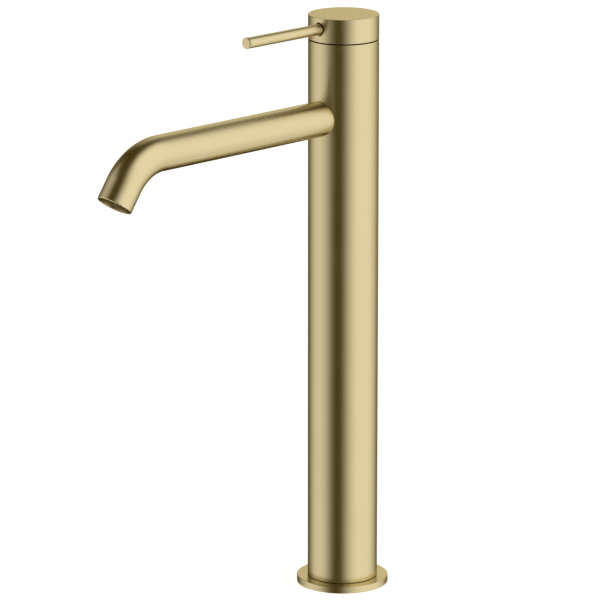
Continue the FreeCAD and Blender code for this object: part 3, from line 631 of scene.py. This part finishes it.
def spout_station(along):
    """Centre of the spout's tube, and which way is up across it, at a length from the column's axis."""
    arc = BEND_RADIUS * BEND_ANGLE
    if along <= SPOUT_STRAIGHT:
        return Vector((0, -along, SPOUT_HEIGHT)), Vector((0, 0, 1))
    turned = min((along - SPOUT_STRAIGHT) / BEND_RADIUS, BEND_ANGLE)
    centre = Vector((0, -SPOUT_STRAIGHT, SPOUT_HEIGHT - BEND_RADIUS))
    up = Vector((0, -math.sin(turned), math.cos(turned)))
    past = max(along - SPOUT_STRAIGHT - arc, 0.0)
    return centre + up * BEND_RADIUS + Vector((0, -math.cos(BEND_ANGLE), -math.sin(BEND_ANGLE))) * past, up


def spout_loop(radius, along, segments):
    centre, up = spout_station(along)
    angles = [2 * math.pi * step / segments for step in range(segments)]
    return [centre + Vector((radius * math.cos(a), 0, 0)) + up * (radius * math.sin(a)) for a in angles]


def saddle_loop(radius, lift, segments):
    """A loop of the spout's tube that follows the column's surface at a small distance from it."""
    points = []
    clear = 0.04 * MM
    for step in range(segments):
        angle = 2 * math.pi * step / segments
        across = radius * math.cos(angle)
        reach = math.sqrt((COLUMN_RADIUS + clear) ** 2 - across ** 2) + lift
        points.append(Vector((across, -reach, SPOUT_HEIGHT + radius * math.sin(angle))))
    return points


def make_spout():
    """Bent tube. Its root stops short of the column by a fine shadow line, and the root's first faces carry
    the painted shade.
    """
    segments = 128
    arc = BEND_RADIUS * BEND_ANGLE
    length = SPOUT_STRAIGHT + arc + SPOUT_END
    bore = SPOUT_RADIUS - SPOUT_WALL
    root = SPOUT_RADIUS - SHADOW_DEPTH
    bevel = 0.08 * MM
    bend_steps = 48
    near_root = COLUMN_RADIUS + 3 * MM
    before_bend = SPOUT_STRAIGHT - 20 * MM
    middle = [near_root, before_bend]
    middle += [SPOUT_STRAIGHT + arc * step / bend_steps for step in range(bend_steps + 1)]
    lip_start = length - 4 * MM
    lip = rounded([
        (SPOUT_RADIUS, lip_start, 0), (SPOUT_RADIUS, length, 0.5 * MM), (bore, length, 0.25 * MM),
        (bore, lip_start, 0)], 5, 0.3 * MM)
    loops = [saddle_loop(root, 0.0, segments), saddle_loop(root, SHADOW_LINE, segments),
             saddle_loop(SPOUT_RADIUS - bevel, SHADOW_LINE, segments),
             saddle_loop(SPOUT_RADIUS, SHADOW_LINE + bevel, segments)]
    lengths = [COLUMN_RADIUS] * len(loops)
    stations = [(SPOUT_RADIUS, along) for along in middle]
    stations += [(ring.r, ring.z) for ring in lip]
    stations += [(bore, along) for along in reversed(middle)]
    for radius, along in stations:
        loops.append(spout_loop(radius, along, segments))
        lengths.append(along)
    loops.append(saddle_loop(bore, 0.0, segments))
    lengths.append(COLUMN_RADIUS)
    piece = add_piece("spout", skin(loops, lengths, (1, 2), (0, 1)), "column", "brushed_gold", "spout_tube")
    low, high = box_of("spout_grub_screw")
    hole = 2.05 * MM
    inside = 8 * MM
    outside = 12 * MM
    # The grub screw's hole carries the painted shade inside.
    cut_away(piece, lathe(
        [(0, inside, 0, "recess"), (hole, inside, 0, "recess"), (hole, outside, 0), (0, outside, 0)], 48,
        Matrix.Translation((0, (low.y + high.y) / 2, SPOUT_HEIGHT)) @ TO_BELOW))


def make_dome():
    """Polished cover under the cap, seen through the gap when the lever is lifted."""
    low, high = box_of("dome_cover")
    outer = 19.4 * MM
    inner = 18.2 * MM
    hole = 8.5 * MM
    steps = 24
    outline = []
    for radius, forward in ((outer, True), (inner, False)):
        start = math.asin((low.z - PIVOT_HEIGHT) / radius)
        end = math.acos(hole / radius)
        shares = [step / steps for step in range(steps + 1)]
        for share in shares if forward else reversed(shares):
            angle = start + (end - start) * share
            outline.append((radius * math.cos(angle), PIVOT_HEIGHT + radius * math.sin(angle), 0))
    bm = lathe(outline, 128)
    for edge in bm.edges:
        edge.smooth = edge.calc_face_angle() < HARD_ANGLE
    add_piece("dome", bm, "column", "polished_steel", "dome_cover")


def dress_cad_nodes():
    """Every CAD node that stays gets its own finish, or that of its slot."""
    for row in frame["record"]["subparts"]:
        node = frame["nodes"][row["node"]]
        finish = FINISHES.get(row["node"], FINISHES[row["material_slot"]])
        if node.material_slots:
            for holder in node.material_slots:
                holder.material = finish
        else:
            node.data.materials.append(finish)


add_camera()
add_world()
add_floor()
FINISHES = make_finishes()
dress_cad_nodes()
make_flange()
make_column()
make_cap()
make_lever()
make_spout()
make_dome()
SCENE.view_settings.view_transform = "Standard"
